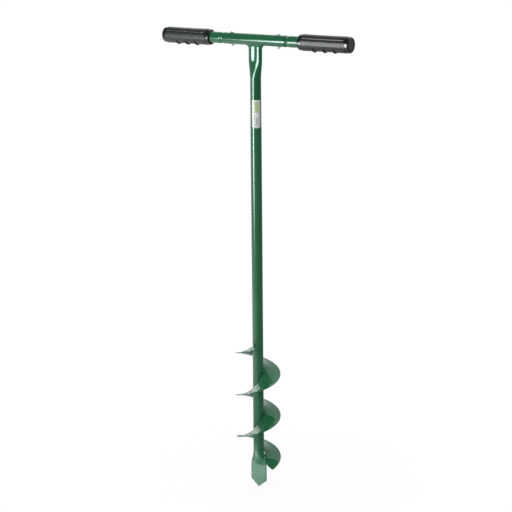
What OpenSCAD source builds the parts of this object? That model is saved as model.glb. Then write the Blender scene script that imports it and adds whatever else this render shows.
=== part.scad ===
// Hand soil auger: a tube shaft with a screw of three dished flights over a
// pressed spade point, under a T-handle whose two arms are bolted on.
// The origin is at the point, +Z runs up the shaft and X along the handle.

/* [Tube] */
// Outer diameter of the tube that the shaft and the handle are made of
tube_d = 24; // [22:0.5:26]
// Wall thickness of that tube
tube_wall = 1.5; // [1:0.1:2]

/* [Shaft] */
// Height of the handle's axis above the point
bar_z = 1014; // [800:1:1300]
// Width of the shaft where its top is squeezed
pinch_w = 31.6; // [28:0.1:34]
// Thickness of the squeezed top over its two lobes
pinch_t = 10.4; // [8:0.1:14]
// Depth of the dent between the lobes, in each broad face
dent_depth = 1; // [0:0.1:2]
// Length of the squeezed part, from the handle's axis down
pinch_l = 42; // [30:1:80]
// Length of the taper from squeezed to round
pinch_taper = 42; // [20:1:80]

/* [Spade point] */
// Width of the tube where it is pressed flat
spade_w = 40.5; // [34:0.5:42]
// Thickness of the flat, two walls pressed together
spade_t = 3.4; // [3:0.1:5]
// Height of the shoulders, where the sides turn in to the point
shoulder_z = 17.5; // [10:0.5:30]
// Height of the crease where the flat ends
crease_z = 52; // [40:1:56]
// Height at which the tube is round again
round_z = 92; // [86:1:120]

/* [Flights] */
// Diameter of the screw
flight_d = 100; // [80:1:130]
// Climb of the screw in one turn
flight_pitch = 99; // [85:1:120]
// Thickness of the sheet
flight_t = 2; // [1.5:0.1:3]
// Drop of the rim below the inner edge
flight_dish = 9; // [0:0.5:12]
// Height of the rim over the +X axis in the lowest turn
flight_z = 65.5; // [60:0.5:80]
// Further drop of the cutting corner
corner_drop = 2.5; // [0:0.5:8]
// Room that the inner edge leaves round the flattening tube
inner_opening = 4.8; // [4.6:0.1:8]

/* [Handle] */
// Length of the cross tube on top of the shaft
bar_l = 154; // [120:1:200]
// Distance of each clamping bolt from the shaft's axis
bolt_x = 57; // [45:0.5:70]
// Gap between the cross tube and an arm's shoulder
arm_gap = 1; // [0:0.1:3]
// Distance of each grip's mouth from the shaft's axis
grip_x = 109; // [100:0.5:140]
// Length of a grip
grip_l = 121; // [100:1:140]
// Diameter of a grip at the ends of its body
grip_d = 34.6; // [32:0.1:40]
// Hollow of the body between its ends, on the radius
grip_waist = 0.4; // [0:0.1:1]
// Spacing of the finger ridges
ridge_step = 24; // [20:1:28]
// Height of a finger ridge above the body
ridge_h = 2.4; // [1:0.1:4]

/* [Hidden] */

enamel = "#256b43";
rubber = "#26292a";
zinc = "#b9bec0";

tube_r = tube_d / 2;
bore_r = tube_r - tube_wall;
flight_r = flight_d / 2;
sides = 48;
$fn = 64;

// Lofted ends meet the round tube just inside its surface
seat = 0.02;
// Clear gap between pieces that only touch
touch = 0.05;

// Cut lines of the flights as turn angles, at the rim and at the inner edge
top_cut = [1016, 992];
upper_seam = [667, 692];
lower_seam = [307, 332];
cutting_edge = [-20, -19];
// Half of the weld gap at a seam, in degrees
seam_half = 0.3;
// Turn angles from which the inner edge opens and the rim drops
opening_from = 90;
drop_from = 80;
flight_step = 5;
flight_columns = 5;
// Upturn of the rim as a share of the dish
rim_curl = 0.25;

// The squeezed top: how square its lobes are, and where its dents lie and begin
lobe_power = 0.66;
dent_half_w = 8;
dent_z = bar_z - 52;
dent_run = 20;

// How much later than the width the pressed foot loses its thickness
press_power = 1.1;

// The swaged end of an arm
spigot_clearance = 0.1;
spigot_r = bore_r - spigot_clearance;
spigot_l = 38;
shoulder_l = 7;

// Bolts and nuts, M4
bolt_d = 4;
bolt_hole_d = 4.5;
bolt_l = 30;
hex_af = 7;
head_h = 2.8;
nut_h = 3.2;
hex_d = hex_af / cos(30);
thread_chamfer = 0.6;

// A grip's collars, rounded ends, closed end and ridges
collar_l = 9;
collar_r = grip_d / 2 - 0.7;
collar_round = 3;
end_wall = 5;
end_recess = 0.8;
end_rim = 4;
ridge_w = 4.6;
ridge_arc = 116;

// The weld between the shaft and the cross tube
weld_leg_x = 9;
weld_leg_y = 2.2;
weld_foot = 18.5;
weld_top = 6;
weld_edge = 0.3;
weld_rings = 6;

function lerp(a, b, t) = a + (b - a) * t;
function clamp01(t) = min(1, max(0, t));
function ease(t) = t * t * (3 - 2 * t);

// Closed skin over a stack of loops that each have the same even count of
// points and turn counterclockwise seen from the loop ahead
module skin(loops) {
    n = len(loops[0]);
    last = (len(loops) - 1) * n;
    walls = [for (i = [0 : len(loops) - 2], j = [0 : n - 1])
        let (a = i * n + j, b = i * n + (j + 1) % n)
        each [[a, a + n, b + n], [a, b + n, b]]];
    caps = [for (j = [0 : n / 2 - 2])
        each [[j, j + 1, n - 2 - j], [j, n - 2 - j, n - 1 - j],
            [last + j, last + n - 2 - j, last + j + 1],
            [last + j, last + n - 1 - j, last + n - 2 - j]]];
    polyhedron([for (loop = loops) each loop], concat(walls, caps), convexity = 8);
}

// Tube section squeezed by a share s into two lobes, with a share of the dent between them
function pinch_loop(z, s, dent, inset = 0) = [for (i = [0 : sides - 1])
    let (a = 360 * i / sides,
        r = tube_r - seat,
        wide = pinch_w / 2 * sign(cos(a)) * pow(abs(cos(a)), lobe_power),
        hollow = dent * dent_depth * pow(cos(90 * min(1, abs(wide) / dent_half_w)), 2),
        deep = sign(sin(a)) * (pinch_t / 2 * pow(abs(sin(a)), lobe_power) - hollow),
        half_w = lerp(r, pinch_w / 2, s),
        half_t = lerp(r, pinch_t / 2, s))
    [lerp(r * cos(a), wide, s) * (1 - inset / half_w), lerp(r * sin(a), deep, s) * (1 - inset / half_t), z]];

// Loops of the shaft's top, from round tube up to the squeezed end
function pinch_loops(inset = 0) = [for (z = concat(
        [for (i = [0 : 10]) bar_z - pinch_l - pinch_taper * (1 - i / 10)],
        [dent_z + 0.75 * dent_run, dent_z + dent_run, bar_z]))
    pinch_loop(z, ease(clamp01(1 - (bar_z - pinch_l - z) / pinch_taper)),
        ease(clamp01((z - dent_z) / dent_run)), inset)];

// Tube section pressed flat by a share s, with folded round edges
function spade_loop(z, s, inset = 0) = [for (i = [0 : sides - 1])
    let (a = 360 * i / sides,
        fold = 3.2,
        thin = pow(s, press_power),
        half_w = lerp(tube_r - seat, spade_w / 2, s),
        half_t = lerp(tube_r - seat, spade_t / 2, thin),
        y = lerp((tube_r - seat) * sin(a), spade_t / 2 * max(-1, min(1, fold * sin(a))), thin))
    [(half_w - inset) * cos(a), y * (half_t - inset) / half_t, z]];

// Loops of the taper between two shares of its height, from the crease up
function spade_loops(from, to, inset = 0) = [for (i = [0 : 10])
    let (u = lerp(from, to, i / 10))
    spade_loop(lerp(crease_z, round_z, u), 1 - ease(pow(u, 0.8)), inset)];

// Outline of the point seen from the front
module point_outline() {
    margin = 1;
    half = spade_w / 2 + margin;
    shoulder = shoulder_z * half / (spade_w / 2);
    polygon([[0, 0], [half, shoulder], [half, round_z + 1], [-half, round_z + 1], [-half, shoulder]]);
}

module shaft() color(enamel) difference() {
    union() {
        intersection() {
            skin(concat([spade_loop(-1, 1)], spade_loops(0, 1)));
            rotate([90, 0, 0]) linear_extrude(2 * tube_d, center = true) point_outline();
        }
        translate([0, 0, round_z]) cylinder(r = tube_r, h = bar_z - pinch_l - pinch_taper - round_z);
        skin(pinch_loops());
    }
    hollow_from = 0.25;
    skin(spade_loops(hollow_from, 1, tube_wall));
    translate([0, 0, round_z]) cylinder(r = bore_r, h = bar_z - pinch_l - pinch_taper - round_z);
    skin(pinch_loops(tube_wall));
    along_bar() cylinder(r = tube_r + touch, h = bar_l, center = true);
}

// Turns a piece drawn up the Z axis to lie along the handle's axis
module along_bar() translate([0, 0, bar_z]) rotate([0, 90, 0]) children();

// Inner radius of the screw at a turn angle
function inner_r(phi) = tube_r + touch
    + inner_opening * pow(clamp01((opening_from - phi) / opening_from), 3);

// Fall of the hollow section as a share of the dish, and how steeply it falls
function dish_share(w) = (1 + rim_curl) * pow(1 - w, 2) - rim_curl * (1 - w);
function dish_slope(w) = (2 * (1 + rim_curl) * (1 - w) - rim_curl) * flight_dish / (flight_r - tube_r);

// Height of the sheet's top at a turn angle and a share w of the way to the rim
function flight_top(phi, w) = flight_z + flight_pitch * phi / 360 + flight_dish * dish_share(w)
    - corner_drop * w * pow(clamp01((drop_from - phi) / (drop_from - cutting_edge[0])), 2);

// Upright depth of the sloping sheet at a radius and a share of the way to the rim
function sheet_depth(r, w) = flight_t * norm([1, flight_pitch / (2 * PI * r), dish_slope(w)]);

// Point of the sheet at a share u along and w across, on its top or underside
function flight_point(low, high, u, w, under) =
    let (phi = lerp(lerp(low[1], low[0], w), lerp(high[1], high[0], w), u),
        r = lerp(inner_r(phi), flight_r, w))
    [r * cos(phi), r * sin(phi), flight_top(phi, w) - (under ? sheet_depth(r, w) : 0)];

// Section across the sheet: out along the top and back along the underside
function flight_loop(low, high, u) = concat(
    [for (j = [0 : flight_columns]) flight_point(low, high, u, j / flight_columns, false)],
    [for (j = [flight_columns : -1 : 0]) flight_point(low, high, u, j / flight_columns, true)]);

// One flight between two cut lines, from the lower one up
module flight(low, high) {
    rows = ceil((high[0] - low[0]) / flight_step);
    color(enamel) skin([for (i = [0 : rows]) flight_loop(low, high, i / rows)]);
}

function above(cut) = [for (angle = cut) angle + seam_half];
function below(cut) = [for (angle = cut) angle - seam_half];

module upper_flight() flight(above(upper_seam), top_cut);
module middle_flight() flight(above(lower_seam), below(upper_seam));
module lower_flight() flight(cutting_edge, below(lower_seam));

// Upright holes for the two clamping bolts
module bolt_holes() for (side = [-1, 1])
    translate([side * bolt_x, 0, bar_z]) cylinder(d = bolt_hole_d, h = 2 * tube_d, center = true);

module crossbar() color(enamel) difference() {
    along_bar() difference() {
        cylinder(r = tube_r, h = bar_l, center = true);
        cylinder(r = bore_r, h = bar_l + 1, center = true);
    }
    bolt_holes();
}

// Concave fillet that flares from the squeezed shaft to the cross tube
module crossbar_weld() color(enamel) difference() {
    skin([for (i = [0 : weld_rings])
        let (v = i / weld_rings,
            leg_x = lerp(weld_edge, weld_leg_x, pow(v, 2)),
            leg_y = lerp(weld_edge, weld_leg_y, pow(v, 4)))
        [for (p = pinch_loop(bar_z - lerp(weld_foot, weld_top, v), 1, 1))
            let (a = atan2(p[1] / weld_leg_y, p[0] / weld_leg_x))
            p + [leg_x * cos(a), leg_y * sin(a), 0]]]);
    skin([for (z = [bar_z - 2 * weld_foot, bar_z]) pinch_loop(z, 1, 1, -touch)]);
    along_bar() cylinder(r = tube_r + touch, h = bar_l, center = true);
}

// Arm of the handle at +X: a tube with one end swaged down to plug into the cross tube
module arm() color(enamel) difference() {
    along_bar() rotate_extrude() arm_profile();
    bolt_holes();
}

// Half section of an arm: radius across, distance from the shaft's axis up
module arm_profile() {
    mouth = bar_l / 2 + arm_gap;
    spigot_end = bar_l / 2 - spigot_l;
    arm_end = grip_x + grip_l - end_wall - touch;
    steps = 8;
    neck = [for (i = [0 : steps]) let (t = i / steps)
        [lerp(spigot_r, tube_r, ease(t)), mouth + shoulder_l * t]];
    inside = [for (p = neck) [p[0] - tube_wall, p[1] + tube_wall / 2]];
    polygon(concat([[spigot_r - tube_wall, spigot_end], [spigot_r, spigot_end]], neck,
        [[tube_r, arm_end], [bore_r, arm_end]], [for (i = [steps : -1 : 0]) inside[i]]));
}

module left_arm() mirror([1, 0, 0]) arm();
module right_arm() arm();

// Half section of a grip: collar, waisted body, collar and closed end
module grip_profile() {
    body_from = collar_l;
    body_to = grip_l - collar_l;
    arc = [for (a = [0 : 15 : 90]) collar_round * [cos(a) - 1, sin(a) - 1]];
    body = [for (t = [0 : 0.125 : 1])
        [grip_d / 2 - grip_waist * sin(180 * t), lerp(body_from, body_to, t)]];
    translate([0, grip_x]) difference() {
        polygon(concat([[0, 0]],
            [for (i = [len(arc) - 1 : -1 : 0]) [collar_r + arc[i][0], -arc[i][1]]],
            [[collar_r, body_from]], body, [[collar_r, body_to]],
            [for (p = arc) [collar_r + p[0], grip_l + p[1]]], [[0, grip_l]]));
        translate([-1, -1]) square([tube_r + touch + 1, grip_l - end_wall + 1]);
        translate([-1, grip_l - end_recess]) square([collar_r - end_rim + 1, end_recess + 1]);
    }
}

// Rounded ridge on the underside of a grip, below the fingers
module finger_ridge(x) translate([0, 0, x]) rotate([0, 0, -ridge_arc / 2]) rotate_extrude(angle = ridge_arc)
    translate([grip_d / 2 - grip_waist, 0]) intersection() {
        scale([1, ridge_w / 2 / ridge_h]) circle(r = ridge_h);
        translate([-1, -ridge_w]) square([ridge_h + 2, 2 * ridge_w]);
    }

// Moulded grip at +X, pushed on an arm
module grip() color(rubber) along_bar() {
    rotate_extrude() grip_profile();
    for (i = [-1 : 1]) finger_ridge(grip_x + grip_l / 2 + i * ridge_step);
}

module left_grip() mirror([1, 0, 0]) grip();
module right_grip() grip();

// Hexagon bolt through the cross tube and an arm's spigot, head on top
module bolt(x) color(zinc) translate([x, 0, bar_z + tube_r]) {
    cylinder(d = hex_d, h = head_h, $fn = 6);
    translate([0, 0, -bolt_l + thread_chamfer]) cylinder(d = bolt_d, h = bolt_l - thread_chamfer);
    translate([0, 0, -bolt_l])
        cylinder(d1 = bolt_d - 2 * thread_chamfer, d2 = bolt_d, h = thread_chamfer);
}

// Nut drawn up against the underside of the cross tube
module nut(x) color(zinc) translate([x, 0, bar_z - tube_r - nut_h]) difference() {
    cylinder(d = hex_d, h = nut_h, $fn = 6);
    translate([0, 0, -1]) cylinder(d = bolt_d + 2 * touch, h = nut_h + 2);
}

module left_bolt() bolt(-bolt_x);
module right_bolt() bolt(bolt_x);
module left_nut() nut(-bolt_x);
module right_nut() nut(bolt_x);

shaft();
upper_flight();
middle_flight();
lower_flight();
crossbar();
crossbar_weld();
left_arm();
right_arm();
left_grip();
right_grip();
left_bolt();
right_bolt();
left_nut();
right_nut();
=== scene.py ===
import math

import bmesh
import bpy
import numpy as np
from mathutils import Matrix, Vector


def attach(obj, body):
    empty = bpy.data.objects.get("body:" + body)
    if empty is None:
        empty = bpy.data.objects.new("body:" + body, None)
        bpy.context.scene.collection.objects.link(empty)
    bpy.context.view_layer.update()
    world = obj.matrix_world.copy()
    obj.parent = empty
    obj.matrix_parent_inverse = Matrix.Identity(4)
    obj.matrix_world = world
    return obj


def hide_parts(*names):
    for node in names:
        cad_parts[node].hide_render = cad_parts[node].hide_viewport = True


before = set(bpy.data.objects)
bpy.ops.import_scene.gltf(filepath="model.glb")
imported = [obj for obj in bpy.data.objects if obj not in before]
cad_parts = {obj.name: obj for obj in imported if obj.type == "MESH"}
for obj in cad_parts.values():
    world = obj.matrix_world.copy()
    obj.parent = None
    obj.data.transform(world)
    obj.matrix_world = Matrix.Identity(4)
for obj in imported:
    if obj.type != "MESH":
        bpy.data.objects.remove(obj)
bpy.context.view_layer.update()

scene = bpy.context.scene
scene.view_settings.view_transform = "Standard"

# Camera: a long lens, turned to the right of the handle's square-on view and looking
# a little down on the tool, which stands upright in a square picture.
picture_px = 512
focal_px = 1446.64
sensor_mm = 36
camera_reach = 3.1647
camera_turn, camera_rise, camera_lean = (math.radians(a) for a in (32, 14.72, -0.51))
aim = Vector((-0.00208, -0.0013, 0.54299))
backward = Vector((math.sin(camera_turn) * math.cos(camera_rise),
                   -math.cos(camera_turn) * math.cos(camera_rise),
                   math.sin(camera_rise)))
level_right = Vector((math.cos(camera_turn), math.sin(camera_turn), 0))
level_up = backward.cross(level_right)
lean_right = math.cos(camera_lean) * level_right + math.sin(camera_lean) * level_up
lean_up = math.cos(camera_lean) * level_up - math.sin(camera_lean) * level_right
camera_lens = bpy.data.cameras.new("camera")
camera_lens.sensor_width = sensor_mm
camera_lens.lens = sensor_mm * focal_px / picture_px
camera = bpy.data.objects.new("camera", camera_lens)
camera_place = aim + camera_reach * backward
camera.matrix_world = Matrix((*zip(lean_right, lean_up, backward, camera_place), (0, 0, 0, 1)))
scene.collection.objects.link(camera)
scene.camera = camera

# Floor: white studio paper that glows in a painted pool of light at the tool's left and dimly
# at its right. The camera sees it nearly burnt out, with a faint shadow at the tool's foot; the
# painted pool only lights the tool and shows in its gloss, and from underneath the paper isn't seen.
floor_radius, floor_sides = 5.0, 96
floor_white, floor_glow, glow_full = 0.9, 0.93, (0.25, 0.55)
line_near, line_far, line_run = math.radians(34), math.radians(2.5), (0.45, 1.00)
pool_edge, pool_blur, blur_run = 0.18, 0.40, (0.15, 0.80)
pool_dim, pool_near, pool_skirt, pool_mid, pool_far = 0.34, 4.2, 0.75, 1.50, 0.75
under_to_near, near_to_skirt = (0.045, 0.085), (0.18, 0.30)
skirt_to_mid, mid_to_far = (0.45, 0.80), (1.20, 2.60)
back_dim, back_run, least_distance = 0.55, (0.10, 0.70), 0.001
shade_lost = (0.35, 0.70)
spot_way, spot_full, spot_spread = math.radians(-32), math.radians(14), math.radians(42)
fill_dim, fill_near, fill_run = 0.28, 1.5, (0.30, 3.00)


def node_of(tree, kind, **settings):
    """A new node of a tree with some of its settings made."""
    node = tree.nodes.new(kind)
    for name, value in settings.items():
        setattr(node, name, value)
    return node


class Term:
    """One value of a node tree. A formula over terms grows the tree by a node for each step."""

    def __init__(self, tree, outlet):
        self.tree, self.outlet = tree, outlet

    def step(self, operation, *others):
        node = node_of(self.tree, "ShaderNodeMath", operation=operation)
        for socket, value in zip(node.inputs, (self, *others)):
            if isinstance(value, Term):
                self.tree.links.new(value.outlet, socket)
            else:
                socket.default_value = value
        return Term(self.tree, node.outputs[0])

    def __add__(self, other):
        return self.step("ADD", other)

    def __mul__(self, other):
        return self.step("MULTIPLY", other)

    def __sub__(self, other):
        return self.step("SUBTRACT", other)

    def __truediv__(self, other):
        return self.step("DIVIDE", other)

    def __rsub__(self, other):
        return self * -1 + other

    __radd__, __rmul__ = __add__, __mul__

    def squared(self):
        return self * self

    def root(self):
        return self.step("MAXIMUM", 0).step("SQRT")

    def sine(self):
        return self.step("SINE")

    def cosine(self):
        return self.step("COSINE")

    def radians(self):
        return self * (math.pi / 180)

    def size(self):
        return self.step("ABSOLUTE")

    def within(self):
        return self.step("MAXIMUM", 0).step("MINIMUM", 1)

    def towards(self, other, share):
        return self + (other - self) * share

    def eased(self, low, high):
        share = ((self - low) / (high - low)).within()
        return share * share * (3 - share * 2)

    def into(self, socket):
        self.tree.links.new(self.outlet, socket)


def parts_of(tree, vector):
    """The three coordinates of a vector in a tree."""
    split = node_of(tree, "ShaderNodeSeparateXYZ")
    tree.links.new(vector, split.inputs[0])
    return [Term(tree, outlet) for outlet in split.outputs]


def blank_shader(owner):
    """The emptied node tree of a material or world, with its new output."""
    owner.use_nodes = True
    owner.node_tree.nodes.clear()
    kind = "World" if isinstance(owner, bpy.types.World) else "Material"
    return owner.node_tree, node_of(owner.node_tree, "ShaderNodeOutput" + kind)


def rays_of(tree):
    """Shares of the rays from the camera and of those mirrored or let through by a surface."""
    rays = node_of(tree, "ShaderNodeLightPath")
    camera_ray, glossy_ray, through_ray = (
        Term(tree, rays.outputs["Is %s Ray" % kind])
        for kind in ("Camera", "Glossy", "Transmission"))
    return camera_ray, glossy_ray.step("MAXIMUM", through_ray)


floor_mesh = bpy.data.meshes.new("floor")
paper = bmesh.new()
bmesh.ops.create_circle(paper, cap_ends=True, segments=floor_sides, radius=floor_radius)
paper.to_mesh(floor_mesh)
paper.free()
floor = bpy.data.objects.new("floor", floor_mesh)
scene.collection.objects.link(floor)
floor_paper = bpy.data.materials.new("floor_paper")
tree, result = blank_shader(floor_paper)
x, y, _ = parts_of(tree, node_of(tree, "ShaderNodeTexCoord").outputs["Object"])
distance = (x.squared() + y.squared()).root()
way_round = x.step("ARCTAN2", 0 - y)
facing = Term(tree, node_of(tree, "ShaderNodeLayerWeight").outputs["Facing"])

# The glowing side of the painted pool ends at a line that swings round and blurs with the distance
# from the tool.
line = line_near + distance.eased(*line_run) * (line_far - line_near)
line_blur = pool_edge + distance.eased(*blur_run) * pool_blur
pool_share = ((line - way_round).sine() / line_blur).eased(-1, 1)
to_back = y / distance.step("MAXIMUM", least_distance)
pool_share = pool_share * (1 - to_back.eased(*back_run) * back_dim)

# The pool is brightest in a spot at the foot, outside a painted shadow of the tool that fills the
# floor under it and fades for grazing rays.
outside_painted_shadow = 1 - (1 - distance.eased(*under_to_near)) * (1 - facing.eased(*shade_lost))
in_spot = (way_round - spot_way).cosine().eased(math.cos(spot_spread), math.cos(spot_full))
at_foot = outside_painted_shadow * in_spot * (1 - distance.eased(*near_to_skirt))
pool = pool_skirt + (pool_near - pool_skirt) * at_foot
pool = pool + (pool_mid - pool_skirt) * distance.eased(*skirt_to_mid)
pool = pool.towards(pool_far, distance.eased(*mid_to_far))
pool = pool_dim + (pool - pool_dim) * pool_share
fill = fill_dim + (1 - distance.eased(*fill_run)) * (fill_near - fill_dim) * pool_share

matt = node_of(tree, "ShaderNodeBsdfDiffuse")
pool_light = node_of(tree, "ShaderNodeEmission")
pooled = node_of(tree, "ShaderNodeAddShader")
glow = node_of(tree, "ShaderNodeEmission")
lit = node_of(tree, "ShaderNodeMixShader")
under = node_of(tree, "ShaderNodeBsdfTransparent")
seen = node_of(tree, "ShaderNodeMixShader")
camera_ray, mirrored_ray = rays_of(tree)
(floor_white * camera_ray).into(matt.inputs["Color"])
(fill.towards(pool, mirrored_ray) * (1 - camera_ray)).into(pool_light.inputs["Strength"])
glow_share = floor_glow + distance.eased(*glow_full) * (1 - floor_glow)
(camera_ray * glow_share).into(lit.inputs["Fac"])
backfacing = Term(tree, node_of(tree, "ShaderNodeNewGeometry").outputs["Backfacing"])
backfacing.into(seen.inputs["Fac"])
for source, target in (
    (matt, pooled.inputs[0]), (pool_light, pooled.inputs[1]),
    (pooled, lit.inputs[1]), (glow, lit.inputs[2]),
    (lit, seen.inputs[1]), (under, seen.inputs[2]),
    (seen, result.inputs["Surface"]),
):
    tree.links.new(source.outputs[0], target)
floor_mesh.materials.append(floor_paper)

# Room: bright behind and dim on the camera's side, with a dark lid overhead that ends at the
# edge of a white screen, a dim low wall at the right and a rim light behind on the left. This
# shows only in the gloss; the shading takes a soft sky, and the camera sees plain white.
room_seen = 1.0
room_even, room_sky, room_back = 0.30, 0.9, 0.9
room_dark, room_white, dark_turn, dark_run = 0.12, 1.35, math.radians(28), (-0.10, 0.45)
lid_way, lid_dim = Vector((-0.51, 0.05, 0.86)).normalized(), 0.88
lid_full, lid_spread = math.radians(54), math.radians(68)
screen_way = Vector((0.266, 0.835, 0.481)).normalized()
screen_full, screen_spread = math.radians(53.5), math.radians(57.3)
right_dim, right_run, right_rise = 0.75, (0.20, 0.45), (0.02, 0.20)
rim_way, rim_shine = Vector((-0.80, 0.48, 0.36)).normalized(), 2.4
rim_full, rim_spread = math.radians(8), math.radians(23)


def patch_of(view, way, full, spread):
    """The share of a round patch of the room that lies one way from the tool and fades outwards."""
    x, y, z = view
    towards = x * way.x + y * way.y + z * way.z
    return towards.eased(math.cos(spread), math.cos(full))


world = bpy.data.worlds.new("studio")
scene.world = world
tree, result = blank_shader(world)
view = parts_of(tree, node_of(tree, "ShaderNodeTexCoord").outputs["Generated"])
x, y, z = view
to_dark = x * math.sin(dark_turn) - y * math.cos(dark_turn)
in_gloss = room_white - to_dark.eased(*dark_run) * (room_white - room_dark)
in_front = 1 - patch_of(view, screen_way, screen_full, screen_spread)
under_lid = patch_of(view, lid_way, lid_full, lid_spread) * in_front
in_gloss = in_gloss * (1 - under_lid * lid_dim)
in_gloss = in_gloss * (1 - x.eased(*right_run) * (1 - z.eased(*right_rise)) * right_dim)
in_gloss = in_gloss + patch_of(view, rim_way, rim_full, rim_spread) * rim_shine
in_shade = room_even + z.within().squared() * room_sky + y.within().squared() * room_back
camera_ray, mirrored_ray = rays_of(tree)
room_light = in_shade.towards(in_gloss, mirrored_ray).towards(room_seen, camera_ray)
background = node_of(tree, "ShaderNodeBackground")
background.inputs["Color"].default_value = (1, 1, 1, 1)
room_light.into(background.inputs["Strength"])
tree.links.new(background.outputs[0], result.inputs["Surface"])

# Softbox: one tall box on a stand at the camera's left, leaning a little. Its lamp gives the
# shading; its bright front, which fades towards the edges, shows only in the gloss.
box_turn, box_lean = math.radians(-20.5), math.radians(-20)
box_reach, box_height = 1.45, 0.83
box_wide, box_tall = 0.74, 1.44
box_fade_x, box_fade_y = 0.26, 0.36
box_watts = 12
box_shine = 26
box_place = Vector((math.sin(box_turn) * box_reach, -math.cos(box_turn) * box_reach, box_height))
box_stand = Vector((box_place.x, box_place.y, 0)).to_track_quat("Z", "Y").to_matrix().to_4x4()
box_stand = Matrix.Translation(box_place) @ box_stand @ Matrix.Rotation(box_lean, 4, "Z")
box_lamp = bpy.data.lights.new("softbox_lamp", "AREA")
box_lamp.shape = "RECTANGLE"
box_lamp.size, box_lamp.size_y = box_wide, box_tall
box_lamp.energy = box_watts
softbox = bpy.data.objects.new("softbox_lamp", box_lamp)
softbox.matrix_world = box_stand
softbox.visible_glossy = False
softbox.visible_camera = False
scene.collection.objects.link(softbox)

front_corners = [(i * box_wide / 2, j * box_tall / 2, 0)
                 for i, j in ((-1, -1), (1, -1), (1, 1), (-1, 1))]
front_mesh = bpy.data.meshes.new("softbox_front")
front_mesh.from_pydata(front_corners, [], [(0, 1, 2, 3)])
front_glow = bpy.data.materials.new("softbox_front")
tree, result = blank_shader(front_glow)
x, y, _ = parts_of(tree, node_of(tree, "ShaderNodeTexCoord").outputs["Object"])
glow = node_of(tree, "ShaderNodeEmission")
fade_x = 1 - x.size().eased(box_wide / 2 - box_fade_x, box_wide / 2)
fade_y = 1 - y.size().eased(box_tall / 2 - box_fade_y, box_tall / 2)
scattered = Term(tree, node_of(tree, "ShaderNodeLightPath").outputs["Diffuse Depth"]).within()
(fade_x * fade_y * box_shine * (1 - scattered)).into(glow.inputs["Strength"])
tree.links.new(glow.outputs[0], result.inputs["Surface"])
front_mesh.materials.append(front_glow)
softbox_front = bpy.data.objects.new("softbox_front", front_mesh)
softbox_front.matrix_world = box_stand
for ray in ("camera", "diffuse", "transmission", "shadow"):
    setattr(softbox_front, "visible_" + ray, False)
scene.collection.objects.link(softbox_front)

# Shaft: one steel tube under green enamel. Its foot is pressed flat in a die, folded
# round at the sides and sheared to a point; its top is squeezed to a dented oval that
# takes the crossbar.

# Pieces drawn from rings of points are sized in millimetres, the rules further on in metres.
MM = 0.001
tube_r = 12.0
bar_z = 1014.0
pinch_half_w, pinch_half_t, pinch_square, pinch_l, pinch_taper = 15.8, 5.2, 0.66, 42.0, 42.0
dent_depth, dent_half_w, dent_from, dent_full = 1.0, 8.0, 962.0, 982.0
spade_half_w, spade_half_t, spade_fold = 20.25, 1.7, 3.2
widen_power, press_power = 0.8, 1.1
shoulder_z, crease_z, round_z = 17.5, 52.0, 92.0
shear_break, break_from, shear_run = 0.35, 0.75, 1.5
wall_line, line_share, face_from = 0.25, 0.05, 0.999
squeezed_z = bar_z - pinch_l
cap_drop = 1.0
around = 128
point_heights = (0, 0.2, 0.5, 1, 2, 4, 7, 10, 13, 15, 16, 16.5, 17, 17.5, 18.2)
flat_heights = np.linspace(20, crease_z - 1, 16)
crease_heights = crease_z + np.array([-0.4, 0, 0.4, 1])
spread_heights = np.linspace(crease_z + 2, round_z, 40)
plain_heights = np.linspace(round_z + 12, squeezed_z - pinch_taper - 6, 36)
squeeze_heights = np.linspace(squeezed_z - pinch_taper, dent_full, 48)
seat_rings = 8


def angles_round(count):
    """The angles of a number of even places round a circle."""
    return np.arange(count) * 2 * math.pi / count


def ring_at(x, y, z):
    """A ring of points from three coordinates, any of which may be one number for all."""
    return np.stack(np.broadcast_arrays(x, y, z), 1)


def smooth_step(share):
    """An eased run from 0 to 1."""
    share = np.clip(share, 0, 1)
    return share * share * (3 - 2 * share)


turn_angles = angles_round(around)


def spade_ring(z):
    """Section of the pressed foot at a height: round tube above, flat spade below."""
    rise = np.clip((z - crease_z) / (round_z - crease_z), 0, 1)
    widened = 1 - smooth_step(rise ** widen_power)
    pressed = widened ** press_power
    half_w = tube_r + (spade_half_w - tube_r) * widened
    flat_y = spade_half_t * np.clip(spade_fold * np.sin(turn_angles), -1, 1)
    x = half_w * np.cos(turn_angles)
    y = tube_r * np.sin(turn_angles) * (1 - pressed) + flat_y * pressed
    if z < shoulder_z:
        cut = spade_half_w * z / shoulder_z
        corner = min(shear_break, cut / 2)
        to_face = np.abs(flat_y) / spade_half_t
        wall = cut - corner * np.clip((to_face - break_from) / (1 - break_from), 0, 1)
        wall -= min(wall_line, cut / 2) * (to_face < line_share)
        fold_cos = math.cos(math.asin(1 / spade_fold))
        face = (cut - corner) * np.abs(np.cos(turn_angles)) / fold_cos
        sheared = np.sign(np.cos(turn_angles)) * np.where(to_face < face_from, wall, face)
        folded = cut / spade_half_w * x
        x = folded + (sheared - folded) * smooth_step((shoulder_z - z) / shear_run)
    return ring_at(x, y, z)


def pinch_section(squeeze, dent):
    """Across and depth of the squeezed tube at a share of the full squeeze and of the full dent."""
    across, depth = np.cos(turn_angles), np.sin(turn_angles)
    wide = pinch_half_w * np.sign(across) * np.abs(across) ** pinch_square
    hollow = dent * dent_depth * np.cos(math.pi / 2 * np.clip(wide / dent_half_w, -1, 1)) ** 2
    deep = np.sign(depth) * (pinch_half_t * np.abs(depth) ** pinch_square - hollow)
    return (tube_r * across * (1 - squeeze) + wide * squeeze,
            tube_r * depth * (1 - squeeze) + deep * squeeze)


def under_bar(y):
    """Height of the crossbar's underside at a depth y."""
    return bar_z - np.sqrt(np.maximum(tube_r ** 2 - y ** 2, 0))


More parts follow.
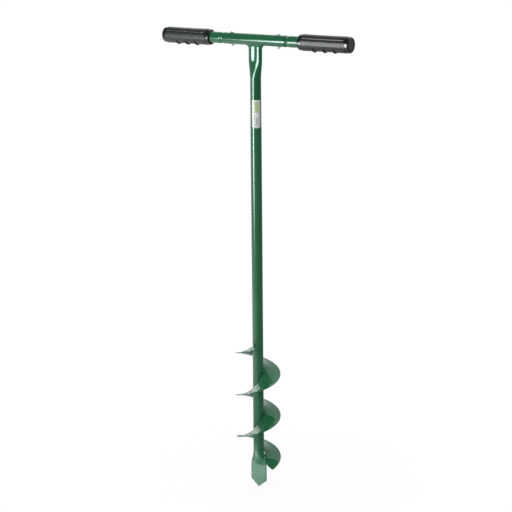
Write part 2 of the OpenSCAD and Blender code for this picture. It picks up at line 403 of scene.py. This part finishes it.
def skin(name, rings, material, sharp_deg=40):
    """A piece whose surface runs over rings of points in millimetres, each to the next."""
    same_point, no_length = 1e-7, 1e-8
    surface = bmesh.new()
    rows = [[surface.verts.new(Vector(p) * MM) for p in ring] for ring in rings]
    for low, high in zip(rows, rows[1:]):
        for i in range(len(low)):
            j = (i + 1) % len(low)
            surface.faces.new((low[i], low[j], high[j], high[i]))
    bmesh.ops.remove_doubles(surface, verts=surface.verts, dist=same_point)
    bmesh.ops.dissolve_degenerate(surface, edges=surface.edges, dist=no_length)
    bmesh.ops.recalc_face_normals(surface, faces=surface.faces)
    mesh = bpy.data.meshes.new(name)
    surface.to_mesh(mesh)
    surface.free()
    mesh.shade_smooth()
    mesh.set_sharp_from_angle(angle=math.radians(sharp_deg))
    mesh.materials.append(material)
    piece = bpy.data.objects.new(name, mesh)
    scene.collection.objects.link(piece)
    return piece


def coat(name, dark, light, blotch, roughness, grain, depth, **sockets):
    """A finish that wanders between two shades and two glosses, with a fine grain in its surface.
    Blotch and grain are sizes in metres, depth is the height of the grain."""
    patch_detail, grain_detail = 4, 2
    noise_low, noise_high = 0.3, 0.7
    material = bpy.data.materials.new(name)
    material.use_nodes = True
    tree = material.node_tree
    surface = tree.nodes["Principled BSDF"]
    place = node_of(tree, "ShaderNodeTexCoord")
    patches = node_of(tree, "ShaderNodeTexNoise")
    patches.inputs["Scale"].default_value = 1 / blotch
    patches.inputs["Detail"].default_value = patch_detail
    shades = node_of(tree, "ShaderNodeMix", data_type="RGBA")
    shades.inputs["A"].default_value = (*dark, 1)
    shades.inputs["B"].default_value = (*light, 1)
    gloss = node_of(tree, "ShaderNodeMapRange")
    gloss.inputs["From Min"].default_value = noise_low
    gloss.inputs["From Max"].default_value = noise_high
    gloss.inputs["To Min"].default_value = roughness[0]
    gloss.inputs["To Max"].default_value = roughness[1]
    skin_grain = node_of(tree, "ShaderNodeTexNoise")
    skin_grain.inputs["Scale"].default_value = 1 / grain
    skin_grain.inputs["Detail"].default_value = grain_detail
    bump = node_of(tree, "ShaderNodeBump")
    bump.inputs["Strength"].default_value = 1
    bump.inputs["Distance"].default_value = depth
    for source, target in (
        (place.outputs["Object"], patches.inputs["Vector"]),
        (place.outputs["Object"], skin_grain.inputs["Vector"]),
        (patches.outputs["Fac"], shades.inputs["Factor"]),
        (patches.outputs["Fac"], gloss.inputs["Value"]),
        (skin_grain.outputs["Fac"], bump.inputs["Height"]),
        (shades.outputs["Result"], surface.inputs["Base Color"]),
        (gloss.outputs["Result"], surface.inputs["Roughness"]),
        (bump.outputs["Normal"], surface.inputs["Normal"]),
    ):
        tree.links.new(source, target)
    for socket, value in sockets.items():
        surface.inputs[socket.replace("_", " ")].default_value = value
    return material


def stand_for(piece, node):
    """The piece rides on the tool's one body in place of a CAD node, which it hides."""
    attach(piece, "root")
    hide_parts(node)


green_enamel = coat("green_enamel", dark=(0.017, 0.118, 0.050), light=(0.024, 0.142, 0.063),
                    blotch=0.035, roughness=(0.07, 0.09), grain=0.0040, depth=0.000001,
                    IOR=1.5, Specular_Tint=(0.80, 1.0, 0.95, 1))

shaft_heights = (*point_heights, *flat_heights, *crease_heights, *spread_heights, *plain_heights)
shaft_rings = [spade_ring(z) for z in shaft_heights]
for z in squeeze_heights:
    x, y = pinch_section(smooth_step(1 - (squeezed_z - z) / pinch_taper),
                         smooth_step((z - dent_from) / (dent_full - dent_from)))
    shaft_rings.append(ring_at(x, y, z))
pinch_x, pinch_y = pinch_section(1, 1)
for share in np.linspace(0, 1, seat_rings + 1)[1:]:
    z = dent_full * (1 - share) + under_bar(pinch_y) * share
    shaft_rings.append(ring_at(pinch_x, pinch_y, z))
shaft_rings.append(ring_at(np.zeros(around), 0, bar_z - tube_r - cap_drop))
shaft = skin("auger_shaft", shaft_rings, green_enamel, sharp_deg=25)
stand_for(shaft, "shaft")

# Flights: three slit rings of 2 mm sheet, pressed to a hollow section with the rim turned
# up a little, drawn out into right-hand screw turns and butted end to end round the tube.
# The lowest one drops at its cutting corner and opens at its inner edge to clear the foot.
weld_gap = 0.05
flight_sizes = {
    "Rim Radius": 0.050, "Tube Radius": (tube_r + weld_gap) * MM, "Pitch": 0.099, "Sheet": 0.002,
    "Dish": 0.009, "Rim Curl": 0.25, "Height": 0.0655, "Corner Drop": 0.0025,
    "Inner Opening": 0.0048, "Edge Round": 0.0008, "Waviness": 0.0001,
}
flight_cuts = {
    "lower_flight": {"Inner Start": -19, "Rim Start": -20, "Inner End": 331.7, "Rim End": 306.7},
    "middle_flight": {"Inner Start": 332.3, "Rim Start": 307.3, "Inner End": 691.7, "Rim End": 666.7},
    "upper_flight": {"Inner Start": 692.3, "Rim Start": 667.3, "Inner End": 992, "Rim End": 1016},
}
opening_from, drop_from, drop_span = 90, 80, 100
flight_rows, flight_columns = 181, 73
dent_scale, dent_detail = 42.0, 1.0


class Rule:
    """A geometry node tree with named sizes. Its last steps realise the parts and give a finish."""

    same_point = 2e-6

    def __init__(self, name):
        self.tree = bpy.data.node_groups.new(name, "GeometryNodeTree")
        self.entry = self.tree.nodes.new("NodeGroupInput")

    def size(self, name, kind="NodeSocketFloat"):
        self.tree.interface.new_socket(name, in_out="INPUT", socket_type=kind)
        return Term(self.tree, self.entry.outputs[name])

    def node(self, kind, links=()):
        node = node_of(self.tree, kind)
        for name, value in dict(links).items():
            socket = node.inputs[name]
            if isinstance(value, Term):
                self.tree.links.new(value.outlet, socket)
            elif hasattr(value, "links"):
                self.tree.links.new(value, socket)
            else:
                socket.default_value = value
        return node

    def spot(self, x, y, z):
        return self.node("ShaderNodeCombineXYZ", {"X": x, "Y": y, "Z": z}).outputs[0]

    def place(self):
        return parts_of(self.tree, self.node("GeometryNodeInputPosition").outputs[0])

    def net(self, rows, columns):
        """A flat net of points with the two shares that run over it, from 0 to 1."""
        grid = self.node("GeometryNodeMeshGrid", {"Size X": 1.0, "Size Y": 1.0,
                                                  "Vertices X": rows, "Vertices Y": columns})
        x, y, _ = self.place()
        return grid.outputs["Mesh"], x + 0.5, y + 0.5

    def sheet(self, rows, columns):
        """A net folded over both faces of a sheet and closest at its edges, with the shares
        along and across the sheet and the face, which is 1 or -1."""
        net, run, loop = self.net(rows, columns)
        along = 0.5 - (run * math.pi).cosine() * 0.5
        across = 0.5 - (loop * (2 * math.pi)).cosine() * 0.5
        face = (loop * (2 * math.pi)).sine().step("SIGN")
        return net, along, across, face

    def moved(self, geometry, place):
        links = {"Geometry": geometry, "Position": place}
        return self.node("GeometryNodeSetPosition", links).outputs[0]

    def closed(self, net, place):
        """A net moved into its place, with the points that then meet made one."""
        links = {"Geometry": self.moved(net, place), "Distance": self.same_point}
        return self.node("GeometryNodeMergeByDistance", links).outputs["Geometry"]

    def finish(self, geometry, *finishes):
        """Finishes are a material, or a material with the faces that take it."""
        smooth = self.node("GeometryNodeSetShadeSmooth", {"Geometry": geometry}).outputs[0]
        geometry = self.node("GeometryNodeRealizeInstances", {"Geometry": smooth}).outputs[0]
        for material, *faces in finishes:
            links = {"Geometry": geometry, "Material": material}
            if faces:
                links["Selection"] = faces[0]
            geometry = self.node("GeometryNodeSetMaterial", links).outputs[0]
        self.tree.interface.new_socket("Piece", in_out="OUTPUT", socket_type="NodeSocketGeometry")
        self.tree.links.new(geometry, self.tree.nodes.new("NodeGroupOutput").inputs[0])

    def make(self, name, sizes, base=None):
        """The rule worked out at some sizes, as a plain mesh piece."""
        piece = bpy.data.objects.new(name, base or bpy.data.meshes.new(name + "_blank"))
        scene.collection.objects.link(piece)
        worked = piece.modifiers.new("rule", "NODES")
        worked.node_group = self.tree
        for item in self.tree.interface.items_tree:
            if item.in_out == "INPUT" and item.name in sizes:
                worked[item.identifier] = sizes[item.name]
        depsgraph = bpy.context.evaluated_depsgraph_get()
        mesh = bpy.data.meshes.new_from_object(piece.evaluated_get(depsgraph))
        piece.modifiers.remove(worked)
        surface = bmesh.new()
        surface.from_mesh(mesh)
        bmesh.ops.recalc_face_normals(surface, faces=surface.faces)
        surface.to_mesh(mesh)
        surface.free()
        mesh.name = name
        piece.data = mesh
        return piece


flight_rule = Rule("dished_screw_flight")
rim_r, tube_edge, pitch, sheet, dish, curl, height, drop, opening, edge_round, waves = (
    flight_rule.size(name) for name in flight_sizes)
inner_start, rim_start, inner_end, rim_end = (
    flight_rule.size(name) for name in flight_cuts["lower_flight"])
net, along, across, face = flight_rule.sheet(flight_rows, flight_columns)
turn_in = inner_start.towards(inner_end, along)
turn = turn_in.towards(rim_start.towards(rim_end, along), across)
open_share = ((opening_from - turn) / opening_from).within()
inner_r = tube_edge + opening * open_share * open_share * open_share
radius = inner_r.towards(rim_r, across)
inward = 1 - across
top = (height + pitch * turn / 360 + dish * inward * (inward * (curl + 1) - curl)
       - drop * across * ((drop_from - turn) / drop_span).within().squared())
slope = pitch / (radius * (2 * math.pi))
fall = dish * (inward * (curl + 1) * 2 - curl) / (rim_r - tube_edge)
depth = sheet * (slope.squared() + fall.squared() + 1).root()


def rounded(gap):
    """The share of the sheet's thickness that is left at a gap from its rounded edge."""
    return (1 - (1 - gap / edge_round).within().squared()).root()


to_end = along.step("MINIMUM", 1 - along) * (rim_end - rim_start).radians() * radius
to_edge = across.step("MINIMUM", 1 - across) * (rim_r - inner_r)
level = 0.5 - face * rounded(to_end) * rounded(to_edge) * 0.5
angle = turn.radians()
flat_x, flat_y = radius * angle.cosine(), radius * angle.sine()
dents = flight_rule.node("ShaderNodeTexNoise", {
    "Vector": flight_rule.spot(flat_x, flat_y, top), "Scale": dent_scale, "Detail": dent_detail})
wave = (Term(flight_rule.tree, dents.outputs["Fac"]) - 0.5) * waves
surface_at = flight_rule.spot(flat_x, flat_y, top - depth * level + wave)
flight_rule.finish(flight_rule.closed(net, surface_at), (green_enamel,))
for node, cuts in flight_cuts.items():
    flight = flight_rule.make("screw_" + node, {**flight_sizes, **cuts})
    stand_for(flight, node)

# Tack welds: short beads run by hand where two flights meet at the tube and where the
# lowest one starts, standing a little proud and enamelled with the rest.
tack_sizes = {"Climb": flight_sizes["Pitch"], "Bead Radius": 0.0018, "Ripple": 0.16}
tack_places = (
    {"Way Round": 688.0, "Half Arc": 11.0, "Radius": 0.0142, "Height": 0.2628, "Drift": 0.0},
    {"Way Round": 328.0, "Half Arc": 11.0, "Radius": 0.0142, "Height": 0.1638, "Drift": 0.0},
    {"Way Round": 2.0, "Half Arc": 19.0, "Radius": 0.0151, "Height": 0.0738, "Drift": 0.0012},
)
tack_rows, tack_columns, tack_ripples = 33, 17, 4
tack_rule = Rule("tack_weld")
climb, bead_r, ripple = (tack_rule.size(name) for name in tack_sizes)
way, half_arc, path_r, middle_z, drift = (tack_rule.size(name) for name in tack_places[0])
net, run, loop = tack_rule.net(tack_rows, tack_columns)
share = run * 2 - 1
swell = 1 + ripple * (share * (tack_ripples * math.pi)).cosine()
bead = bead_r * (1 - share.squared()).root() * swell
section = loop * (2 * math.pi)
angle = (way + half_arc * share).radians()
bead_out = path_r - drift * share + bead * section.cosine()
bead_z = middle_z + climb * half_arc * share / 360 + bead * section.sine()
bead_at = tack_rule.spot(bead_out * angle.cosine(), bead_out * angle.sine(), bead_z)
tack_rule.finish(tack_rule.closed(net, bead_at), (green_enamel,))
beads = bmesh.new()
for place in tack_places:
    tack = tack_rule.make("tack_weld", {**tack_sizes, **place})
    beads.from_mesh(tack.data)
    bpy.data.objects.remove(tack)
tacks_mesh = bpy.data.meshes.new("flight_tack_welds")
beads.to_mesh(tacks_mesh)
beads.free()
tacks_mesh.materials.append(green_enamel)
flight_tack_welds = bpy.data.objects.new("flight_tack_welds", tacks_mesh)
scene.collection.objects.link(flight_tack_welds)
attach(flight_tack_welds, "root")

# Label: a white printed film with round corners, stuck round the front of the tube below
# the handle. It carries a green keyline, a pale green field and three grey ruled lines.
glue_gap = 0.02
label_sizes = {
    "Tube Radius": (tube_r + glue_gap) * MM, "Film": 0.0001, "Half Width": 0.0095,
    "Length": 0.060, "Corner": 0.002, "Middle Height": 0.8577, "Way Round": 36.0,
}
keyline, keyline_w, ink_soft = 0.0010, 0.0004, 0.00015
field_half_w, field_low, field_high = 0.0052, 0.0030, 0.0260
rules = ((-0.0036, -0.0255, -0.0020), (0.0, -0.0255, -0.0080), (0.0036, -0.0255, -0.0050))
rule_half_w = 0.0006
line_ink, field_ink, rule_ink = (0.06, 0.20, 0.10), (0.50, 0.66, 0.32), (0.20, 0.22, 0.21)
label_rows, label_columns = 57, 65
white_film = coat("white_film", dark=(0.85, 0.87, 0.85), light=(0.91, 0.92, 0.91),
                  blotch=0.02, roughness=(0.28, 0.36), grain=0.003, depth=0.000002, IOR=1.5)

label_rule = Rule("wrapped_label")
film_r, film, half_w, long, corner, middle_z, way = (label_rule.size(name) for name in label_sizes)
net, along, across, face = label_rule.sheet(label_rows, label_columns)
to_end = along.step("MINIMUM", 1 - along) * long
to_corner = (corner - to_end).step("MAXIMUM", 0)
row_half = half_w - corner + (corner.squared() - to_corner.squared()).root()
to_side = across.step("MINIMUM", 1 - across) * row_half * 2
angle = way.radians() + (across * 2 - 1) * row_half / film_r
edge_share = (to_end / film).within().root() * (to_side / film).within().root()
film_out = film_r + film * (0.5 + face * edge_share * 0.5)
film_at = label_rule.spot(film_out * angle.sine(), 0 - film_out * angle.cosine(),
                          middle_z + (along - 0.5) * long)
label_rule.finish(label_rule.closed(net, film_at), (white_film,))

tree = white_film.node_tree
surface = tree.nodes["Principled BSDF"]
printed = surface.inputs["Base Color"].links[0].from_socket
x, y, z = parts_of(tree, node_of(tree, "ShaderNodeTexCoord").outputs["Object"])
turn_from_middle = x.step("ARCTAN2", 0 - y) - math.radians(label_sizes["Way Round"])
lap = turn_from_middle * label_sizes["Tube Radius"]
rise = z - label_sizes["Middle Height"]


def inked(value, low, high):
    """The share of ink between two places, soft at both."""
    return value.eased(low - ink_soft, low) * (1 - value.eased(high, high + ink_soft))


from_side, from_end = label_sizes["Half Width"] - lap.size(), label_sizes["Length"] / 2 - rise.size()
keyline_share = inked(from_side.step("MINIMUM", from_end), keyline, keyline + keyline_w)
field_share = inked(lap, -field_half_w, field_half_w) * inked(rise, field_low, field_high)
ruled = [inked(lap, at - rule_half_w, at + rule_half_w) * inked(rise, low, high)
         for at, low, high in rules]
for ink, share in ((line_ink, keyline_share), (field_ink, field_share),
                   (rule_ink, ruled[0] + ruled[1] + ruled[2])):
    over = node_of(tree, "ShaderNodeMix", data_type="RGBA")
    share.into(over.inputs["Factor"])
    tree.links.new(printed, over.inputs["A"])
    over.inputs["B"].default_value = (*ink, 1)
    printed = over.outputs["Result"]
tree.links.new(printed, surface.inputs["Base Color"])
shaft_label = label_rule.make("shaft_label", label_sizes)
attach(shaft_label, "root")

# Crossbar: a short length of the same tube across the top of the shaft, cut square and
# deburred. A clamping bolt goes through it near each end.
bar_half = 77.0
tube_wall = 1.5
lip = 0.4
bar_columns = 96


def turned(profile, columns=bar_columns):
    """Rings of a shape turned about the handle's axis, from pairs of place and radius."""
    spin = angles_round(columns)
    return [ring_at(x, r * np.sin(spin), bar_z - r * np.cos(spin)) for x, r in profile]


def tube_profile(stations):
    """Outline of a tube wall over its outer stations, with broken corners at both ends."""
    (x0, r0), (x1, r1) = stations[0], stations[-1]
    outside = stations[1:-1]
    inside = [(x, r - tube_wall) for x, r in reversed(outside)]
    outline = [(x0, r0 - lip), (x0 + lip, r0), *outside, (x1 - lip, r1), (x1, r1 - lip),
               (x1, r1 - tube_wall + lip), (x1 - lip, r1 - tube_wall), *inside,
               (x0 + lip, r0 - tube_wall), (x0, r0 - tube_wall + lip)]
    return outline + outline[:1]


bar_outline = tube_profile([(-bar_half, tube_r), (bar_half, tube_r)])
crossbar = skin("handle_crossbar", turned(bar_outline), green_enamel)
stand_for(crossbar, "crossbar")

# Arms: two tubes of the same size, each swaged down at its inner end to a spigot that
# plugs into the crossbar up to a rounded shoulder.
spigot_r, spigot_from, neck_from, neck_l, arm_end = 10.4, 39.0, 78.0, 7.0, 224.95
neck_rings = 17
neck = [(neck_from + neck_l * t, spigot_r + (tube_r - spigot_r) * smooth_step(t))
        for t in np.linspace(0, 1, neck_rings)]
arm_stations = [(spigot_from, spigot_r), *neck, (arm_end, tube_r)]
for hand, node in ((-1, "left_arm"), (1, "right_arm")):
    outline = [(hand * x, r) for x, r in tube_profile(arm_stations)]
    arm = skin("handle_" + node, turned(outline), green_enamel)
    stand_for(arm, node)

# Crossbar weld: a hand-run fillet of weld metal all round the squeezed end of the
# shaft, rippled where the pool froze, and painted over with the rest.
weld_leg_x, weld_leg_y, side_foot, front_foot = 9.0, 2.2, 18.5, 14.0
throat_pull, edge_pull = 0.7, 0.15
ripple_step, ripple_h, ripple_lag, ripple_power = 2.2, 0.22, 1.2, 0.6
swell_down, swell_from, swell_least = 0.8, 0.15, 0.4
foot_tuck, toe_tuck, toe_lift = [0.97, 0.9, 1], [0.98, 0.95, 1], [0, 0, 0.6]
weld_low, weld_high = bar_z - side_foot - 0.5, bar_z - 8
weld_rows = 16
lean_out = np.arctan2(pinch_y / weld_leg_y, pinch_x / weld_leg_x)
toe_x = pinch_x + weld_leg_x * np.cos(lean_out)
toe_y = pinch_y + weld_leg_y * np.sin(lean_out)
foot_z = bar_z - front_foot - (side_foot - front_foot) * np.cos(lean_out) ** 2
foot = ring_at(pinch_x, pinch_y, foot_z)
toe = ring_at(toe_x, toe_y, under_bar(toe_y))
throat = throat_pull * ring_at(pinch_x, pinch_y, under_bar(pinch_y)) + edge_pull * (foot + toe)
toe_steps = np.linalg.norm(np.diff(toe, axis=0, append=toe[:1]), axis=1)
toe_path = np.concatenate([[0], np.cumsum(toe_steps)])
ripples = round(toe_path[-1] / ripple_step)
pool_at = math.pi * ripples * toe_path[:-1] / toe_path[-1]
outward = ring_at(np.cos(lean_out), np.sin(lean_out), -swell_down)
weld_rings = [ring_at(np.zeros(around), 0, weld_low), foot * foot_tuck]
for share in np.linspace(0, 1, weld_rows):
    ring = foot * (1 - share) ** 2 + 2 * throat * share * (1 - share) + toe * share ** 2
    frozen = np.abs(np.sin(pool_at - ripple_lag * share)) ** ripple_power
    swell = ripple_h * math.sin(math.pi * min(1, swell_from + share)) * (swell_least + frozen)
    weld_rings.append(ring + outward * swell[:, None])
weld_rings += [toe * toe_tuck + toe_lift, ring_at(np.zeros(around), 0, weld_high)]
crossbar_weld = skin("handle_crossbar_weld", weld_rings, green_enamel, sharp_deg=60)
stand_for(crossbar_weld, "crossbar_weld")

# Bolts and nuts: zinc-plated M4 hexagon bolts, put through from above and clamped on
# the crossbar's underside, so that each arm can be undone for carrying.
bolt_x = 57.0
hex_af, head_h, nut_h, nut_bore = 7.0, 2.8, 3.2, 2.05
hex_columns, hex_turned, hex_lean = 96, 0.96, math.radians(30)
mouth_share, mouth_depth = 1.12, 0.3
thread_sizes = {
    "Major Radius": 0.002, "Pitch": 0.0007, "Depth": 0.00036, "Length": 0.030,
    "Chamfer": 0.0008, "Plain Length": 0.010,
}
thread_rows, thread_columns, end_steepness = 301, 41, 1e6
bright_zinc = coat("bright_zinc", dark=(0.74, 0.77, 0.78), light=(0.88, 0.89, 0.90),
                   blotch=0.0025, roughness=(0.36, 0.52), grain=0.0004, depth=0.000006,
                   Metallic=0.9)

thread_rule = Rule("rolled_thread")
major_r, thread_pitch, thread_depth, bolt_length, end_break, plain_l = (
    thread_rule.size(name) for name in thread_sizes)
net, run, loop = thread_rule.net(thread_rows, thread_columns)
spin = loop * (2 * math.pi)
down = bolt_length * run
crest = (down / thread_pitch - loop).step("FRACT")
groove = (crest - 0.5).size() * 2
cut_in = ((down - plain_l) / thread_pitch).within()
thread_r = major_r - thread_depth * groove * cut_in
thread_r = thread_r.step("MINIMUM", major_r - end_break + (bolt_length - down))
thread_r = thread_r * ((1 - run) * end_steepness).within() * (run * end_steepness).within()
thread_at = thread_rule.spot(thread_r * spin.cosine(), thread_r * spin.sine(), 0 - down)
thread_rule.finish(thread_rule.closed(net, thread_at), (bright_zinc,))


def hexagon(height, hole_r=0.0, turned_below=False):
    """Rings of a hexagon whose corners are turned off above and, where asked, below."""
    spin = angles_round(hex_columns)
    flat_r = hex_af / 2
    corner_r = flat_r / np.cos(np.mod(spin + math.pi / 6, math.pi / 3) - math.pi / 6)
    turn_r = hex_turned * flat_r
    shed = (corner_r - turn_r) * math.tan(hex_lean)
    mouth_r = hole_r * mouth_share

    def ring(r, z):
        return ring_at(r * np.cos(spin), r * np.sin(spin), z)

    low = [ring(turn_r, 0), ring(corner_r, shed)] if turned_below else [ring(corner_r, 0)]
    high = [ring(corner_r, height - shed), ring(turn_r, height)]
    rings = [ring(mouth_r, 0), *low, *high, ring(mouth_r, height)]
    if hole_r:
        rings += [ring(hole_r, height - mouth_depth), ring(hole_r, mouth_depth), ring(mouth_r, 0)]
    return rings


for hand, bolt_node, nut_node in ((-1, "left_bolt", "left_nut"), (1, "right_bolt", "right_nut")):
    head_at = np.array([hand * bolt_x, 0, bar_z + tube_r])
    head_rings = [ring + head_at for ring in hexagon(head_h)]
    bolt = skin("clamp_" + bolt_node, head_rings, bright_zinc, sharp_deg=20)
    shank = thread_rule.make("shank_" + bolt_node, thread_sizes)
    shank.data.transform(Matrix.Translation(Vector(head_at) * MM))
    joined = bmesh.new()
    joined.from_mesh(bolt.data)
    joined.from_mesh(shank.data)
    joined.to_mesh(bolt.data)
    joined.free()
    bpy.data.objects.remove(shank)
    stand_for(bolt, bolt_node)
    nut_at = np.array([hand * bolt_x, 0, bar_z - tube_r - nut_h])
    nut_rings = [ring + nut_at for ring in hexagon(nut_h, nut_bore, turned_below=True)]
    nut = skin("clamp_" + nut_node, nut_rings, bright_zinc, sharp_deg=20)
    stand_for(nut, nut_node)

# Grips: moulded in black soft plastic with a smooth collar at each end, a ribbed body,
# three ridges for the fingers below and a closed outer end, pushed tight on the arms.
grip_x, grip_l, grip_r, grip_waist = 109.0, 121.0, 17.3, 0.4
collar_l, collar_r, collar_round = 9.0, 16.6, 3.0
grip_bore, bore_break, body_step = 12.05, 0.6, 0.25
end_wall, end_recess, end_rim, rim_break, recess_draft = 5.0, 0.8, 4.0, 0.2, 0.3
grip_columns, round_points, body_points = 264, 8, 52
end_x = grip_x + grip_l
body_from, body_to = grip_x + collar_l, end_x - collar_l
grip_sizes = {
    "Axis Height": bar_z * MM, "Body Start": body_from * MM, "Body End": body_to * MM,
    "Body Fade": 0.004, "Skin Radius": 0.0165, "Skin Fade": 0.0002,
    "Rib Count": 24.0, "Rib Height": 0.00011,
    "Flute Angle": 123.0, "Flute Half Width": 7.0, "Flute Depth": 0.0011,
    "Ridge Middle": (body_from + body_to) / 2 * MM, "Ridge Spacing": 0.024,
    "Ridge Height": 0.0024, "Ridge Half Width": 0.0023, "Ridge Radius": 0.0169,
    "Ridge Half Arc": 58.0, "End Disc Radius": 0.0123,
}
ridge_count, ridge_rows, ridge_columns = 3, 61, 25
least_radius = 1e-5
black_body = coat("black_grip_body", dark=(0.016, 0.021, 0.021), light=(0.023, 0.029, 0.029),
                  blotch=0.006, roughness=(0.34, 0.40), grain=0.0009, depth=0.000008,
                  IOR=1.48, Specular_IOR_Level=0.33)
black_collar = coat("black_grip_collar", dark=(0.008, 0.010, 0.011), light=(0.013, 0.015, 0.016),
                    blotch=0.012, roughness=(0.14, 0.19), grain=0.0012, depth=0.000004, IOR=1.48)

arc = [(collar_round * (1 - math.sin(a)), collar_round * (math.cos(a) - 1))
       for a in np.linspace(math.pi / 2, 0, round_points)]
mouth = [(grip_x + dx, collar_r + dr) for dx, dr in arc]
crown = [(end_x - dx, collar_r + dr) for dx, dr in reversed(arc)]
body = [(body_from + (body_to - body_from) * t, grip_r - grip_waist * math.sin(math.pi * t))
        for t in np.linspace(0, 1, body_points)]
recess_x, recess_r = end_x - end_recess, collar_r - end_rim
grip_profile = [
    (end_x - end_wall, 0), (end_x - end_wall, grip_bore),
    (grip_x + bore_break, grip_bore), (grip_x, grip_bore + bore_break), *mouth,
    (body_from - body_step, collar_r), (body_from - body_step, grip_r - body_step), *body,
    (body_to + body_step, grip_r - body_step), (body_to + body_step, collar_r), *crown,
    (end_x, recess_r + rim_break), (end_x - rim_break, recess_r),
    (recess_x, recess_r - recess_draft), (recess_x, 0),
]
grip_blank = skin("grip_blank", turned(grip_profile, grip_columns), black_body)

grip_rule = Rule("moulded_grip")
blank = grip_rule.size("Blank", "NodeSocketGeometry")
(axis_z, body_start, body_end, body_fade, skin_r, skin_fade, rib_count, rib_h,
 flute_at, flute_w, flute_depth, middle, spacing, ridge_h, ridge_w, ridge_r, ridge_arc,
 disc_r) = (grip_rule.size(name) for name in grip_sizes)
x, y, z = grip_rule.place()
drop_z = axis_z - z
out_r = (y.squared() + drop_z.squared()).root()
round_at = y.step("ARCTAN2", drop_z)
on_body = ((x - body_start) / body_fade).within() * ((body_end - x) / body_fade).within()
on_skin = ((out_r - skin_r) / skin_fade).within()
rib = (rib_count * round_at).cosine() * 0.5 + 0.5
flute = 1 - ((round_at.size() * (180 / math.pi) - flute_at) / flute_w).squared().within()
lift = ((rib - 0.5) * rib_h - flute.squared() * flute_depth) * on_body * on_skin
grown = (out_r + lift) / out_r.step("MAXIMUM", least_radius)
ribbed = grip_rule.moved(blank.outlet, grip_rule.spot(x, y * grown, axis_z - drop_z * grown))
net, run, loop = grip_rule.net(ridge_rows, ridge_columns)
swing = ((run * 2 - 1) * ridge_arc).radians()
taper = (1 - (run * 2 - 1).squared().squared().squared()).root()
section = loop * (2 * math.pi)
ridge_out = ridge_r + ridge_h * taper * section.sine()
ridge_line = ridge_w * taper * section.cosine()
ridge = grip_rule.closed(net, grip_rule.spot(
    ridge_line, ridge_out * swing.sine(), axis_z - ridge_out * swing.cosine()))
row = grip_rule.node("GeometryNodeMeshLine", {
    "Count": ridge_count, "Start Location": grip_rule.spot(middle - spacing, 0.0, 0.0),
    "Offset": grip_rule.spot(spacing, 0.0, 0.0)})
ridges = grip_rule.node("GeometryNodeInstanceOnPoints", {
    "Points": row.outputs["Mesh"], "Instance": ridge})
mould = grip_rule.node("GeometryNodeJoinGeometry")
grip_rule.tree.links.new(ribbed, mould.inputs[0])
grip_rule.tree.links.new(ridges.outputs[0], mould.inputs[0])
on_collar = (body_start - x).step("MAXIMUM", x - body_end).step("GREATER_THAN", 0)
on_collar = on_collar * out_r.step("GREATER_THAN", disc_r)
grip_rule.finish(mould.outputs[0], (black_body,), (black_collar, on_collar))

right_grip = grip_rule.make("handle_right_grip", grip_sizes, grip_blank.data)
bpy.data.objects.remove(grip_blank)
left_grip = bpy.data.objects.new("handle_left_grip", right_grip.data.copy())
left_grip.data.transform(Matrix.Diagonal((-1, 1, 1, 1)))
left_grip.data.flip_normals()
scene.collection.objects.link(left_grip)
stand_for(left_grip, "left_grip")
stand_for(right_grip, "right_grip")
